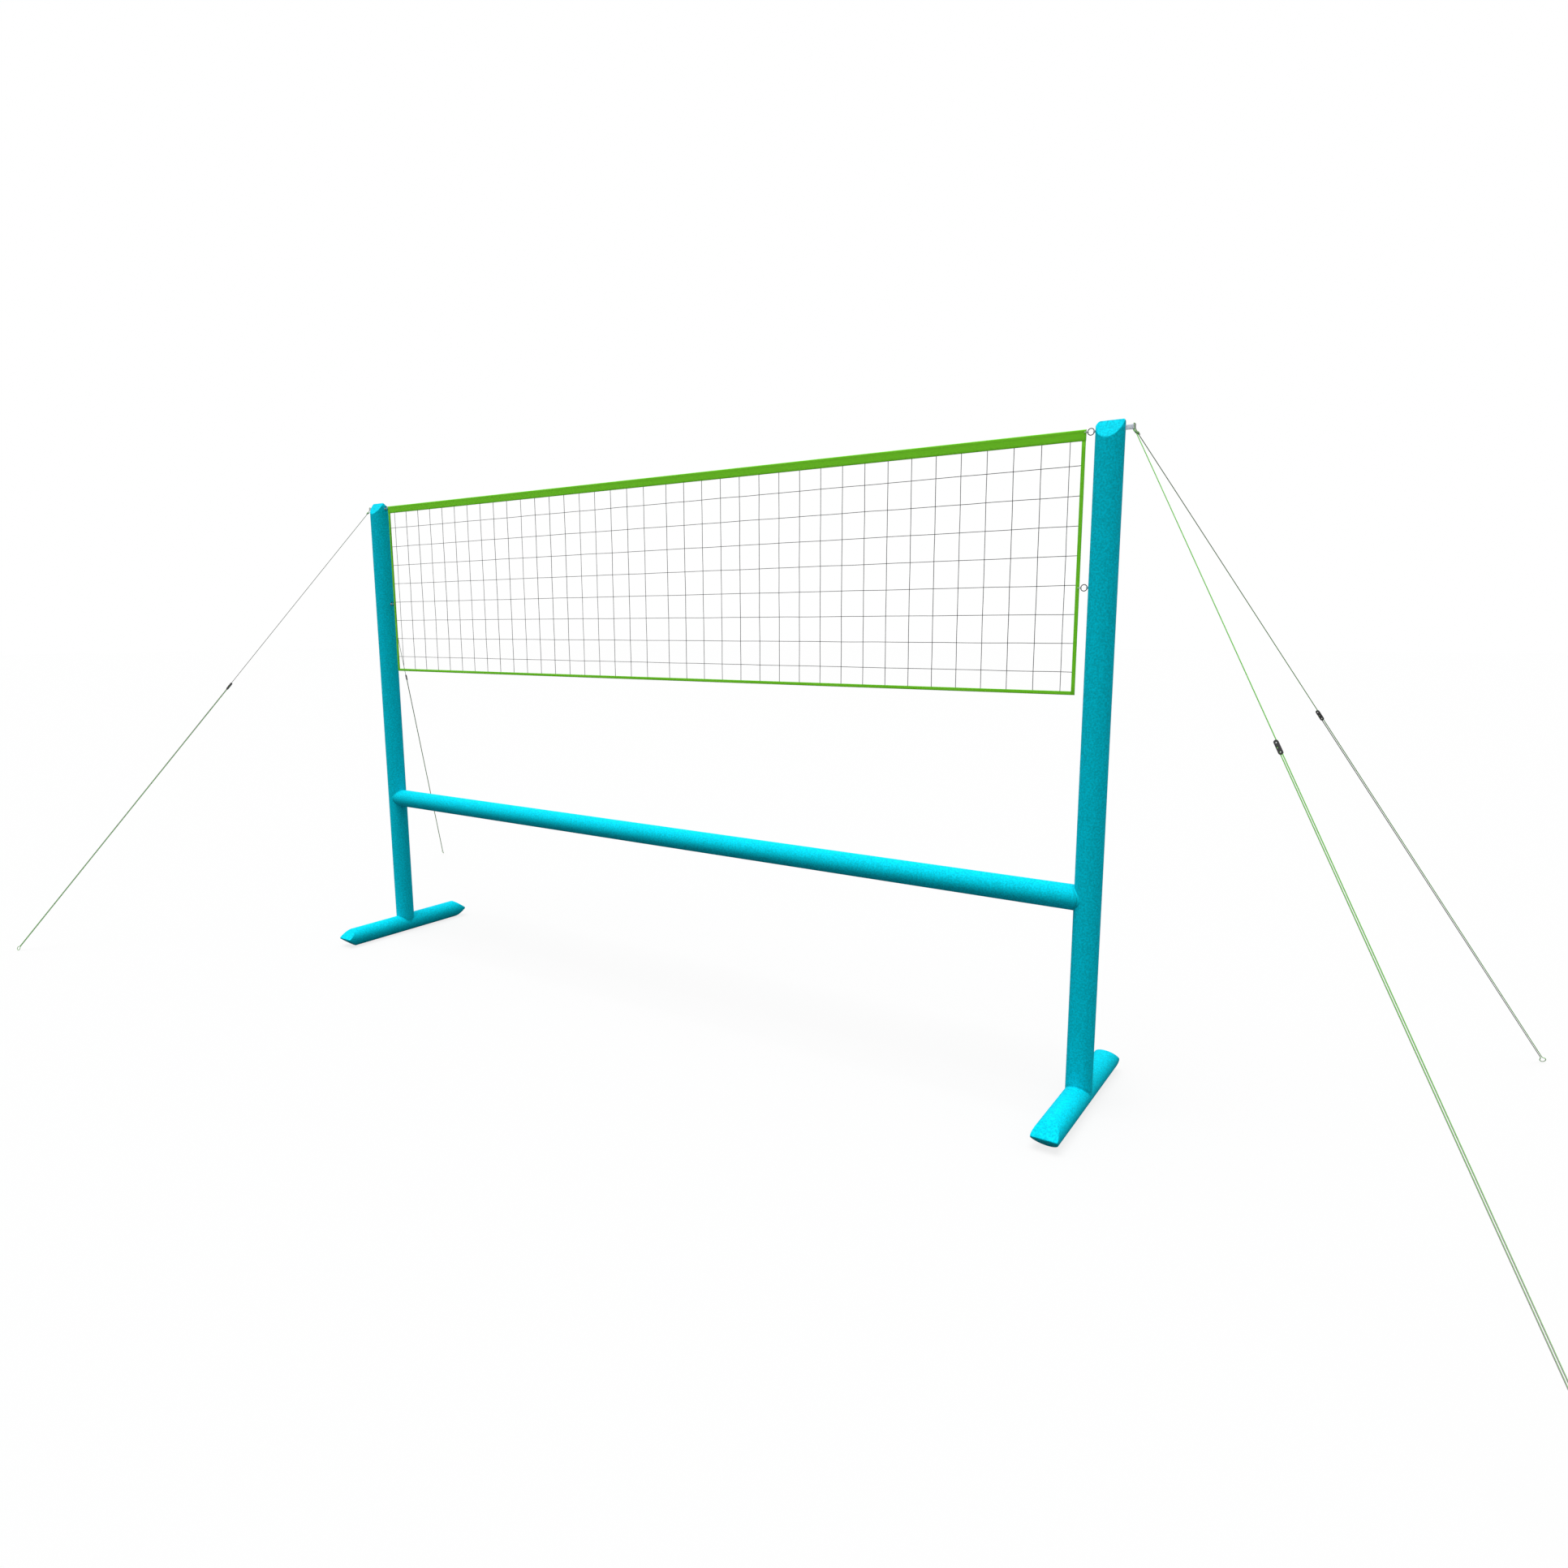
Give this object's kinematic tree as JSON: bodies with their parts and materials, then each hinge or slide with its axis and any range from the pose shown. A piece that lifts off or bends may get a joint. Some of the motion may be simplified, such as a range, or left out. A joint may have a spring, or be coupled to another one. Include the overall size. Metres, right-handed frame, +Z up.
{
  "type": "volleyball net set",
  "caption": "Free-standing volleyball net on inflatable fabric tube posts with a crossbar, feet, guy ropes and sliding runners.",
  "frame": {"origin": "on the ground midway between the two posts, below the middle of the net", "axes": "+X along the net towards the right post, +Y to the back, +Z up"},
  "size_m": [6.9976, 2.8438, 2.456],
  "materials": {
    "cover_teal": "matte woven",
    "bladder_film": "smooth translucent film",
    "air_hose": "satin",
    "valve_plastic": "satin",
    "valve_rubber": "matte",
    "ring_steel": "plated",
    "tab_webbing": "woven",
    "guy_webbing": "woven",
    "band_green": "woven webbing",
    "net_string": "braided string",
    "tie_cord": "braided cord",
    "guy_rope": "braided rope",
    "runner_black": "satin"
  },
  "bodies": {
    "frame": {"bottom_tape": "band_green", "crossbar_bladder": "bladder_film", "crossbar_cover": "cover_teal", "guy_line_left_back": "guy_rope", "guy_line_left_front": "guy_rope", "guy_line_right_back": "guy_rope", "guy_line_right_front": "guy_rope", "guy_return_left_back": "guy_rope", "guy_return_left_front": "guy_rope", "guy_return_right_back": "guy_rope", "guy_return_right_front": "guy_rope", "headline_cord": "tie_cord", "left_bar_air_link": "air_hose", "left_foot_air_link": "air_hose", "left_foot_bladder": "bladder_film", "left_foot_cover": "cover_teal", "left_guy_tab": "guy_webbing", "left_mid_ring_tab": "tab_webbing", "left_post_bladder": "bladder_film", "left_post_cover": "cover_teal", "left_side_tape": "band_green", "left_top_ring_tab": "tab_webbing", "net_mesh": "net_string", "net_ties": "tie_cord", "right_bar_air_link": "air_hose", "right_foot_air_link": "air_hose", "right_foot_bladder": "bladder_film", "right_foot_cover": "cover_teal", "right_guy_tab": "guy_webbing", "right_mid_ring_tab": "tab_webbing", "right_post_bladder": "bladder_film", "right_post_cover": "cover_teal", "right_side_tape": "band_green", "right_top_ring_tab": "tab_webbing", "top_band": "band_green", "valve_body": "valve_plastic", "valve_insert": "valve_plastic", "valve_membrane": "valve_rubber"},
    "left_top_ring": {"left_top_ring": "ring_steel"},
    "left_mid_ring": {"left_mid_ring": "ring_steel"},
    "runner_left_front": {"runner_left_front": "runner_black", "guy_stopper_left_front": "guy_rope"},
    "runner_left_back": {"runner_left_back": "runner_black", "guy_stopper_left_back": "guy_rope"},
    "right_top_ring": {"right_top_ring": "ring_steel"},
    "right_mid_ring": {"right_mid_ring": "ring_steel"},
    "runner_right_front": {"runner_right_front": "runner_black", "guy_stopper_right_front": "guy_rope"},
    "runner_right_back": {"runner_right_back": "runner_black", "guy_stopper_right_back": "guy_rope"},
    "valve_cap": {"valve_cap": "valve_plastic"}
  },
  "joints": [
    {"name": "left_top_ring_swing", "type": "hinge", "parent": "frame", "child": "left_top_ring", "pos_m": [-1.946, 0, 2.425], "axis": [0, 0, 1], "range_deg": [-8, 8]},
    {"name": "left_mid_ring_swing", "type": "hinge", "parent": "frame", "child": "left_mid_ring", "pos_m": [-1.946, 0, 1.906], "axis": [0, 0, 1], "range_deg": [-8, 8]},
    {"name": "runner_left_front_slide", "type": "slide", "parent": "frame", "child": "runner_left_front", "axis": [0.4512, 0.4512, 0.7699], "range_m": [-1.75, 0], "deforming": ["guy_return_left_front"]},
    {"name": "runner_left_back_slide", "type": "slide", "parent": "frame", "child": "runner_left_back", "axis": [0.4512, -0.4512, 0.7699], "range_m": [-1.75, 0], "deforming": ["guy_return_left_back"]},
    {"name": "right_top_ring_swing", "type": "hinge", "parent": "frame", "child": "right_top_ring", "pos_m": [1.946, 0, 2.425], "axis": [0, 0, 1], "range_deg": [-8, 8]},
    {"name": "right_mid_ring_swing", "type": "hinge", "parent": "frame", "child": "right_mid_ring", "pos_m": [1.946, 0, 1.906], "axis": [0, 0, 1], "range_deg": [-8, 8]},
    {"name": "runner_right_front_slide", "type": "slide", "parent": "frame", "child": "runner_right_front", "axis": [-0.4512, 0.4512, 0.7699], "range_m": [-1.75, 0], "deforming": ["guy_return_right_front"]},
    {"name": "runner_right_back_slide", "type": "slide", "parent": "frame", "child": "runner_right_back", "axis": [-0.4512, -0.4512, 0.7699], "range_m": [-1.75, 0], "deforming": ["guy_return_right_back"]},
    {"name": "valve_cap_turn", "type": "hinge", "parent": "frame", "child": "valve_cap", "pos_m": [2, 0.053, 0.32], "axis": [0, 1, 0], "range_deg": [0, 450]}
  ]
}
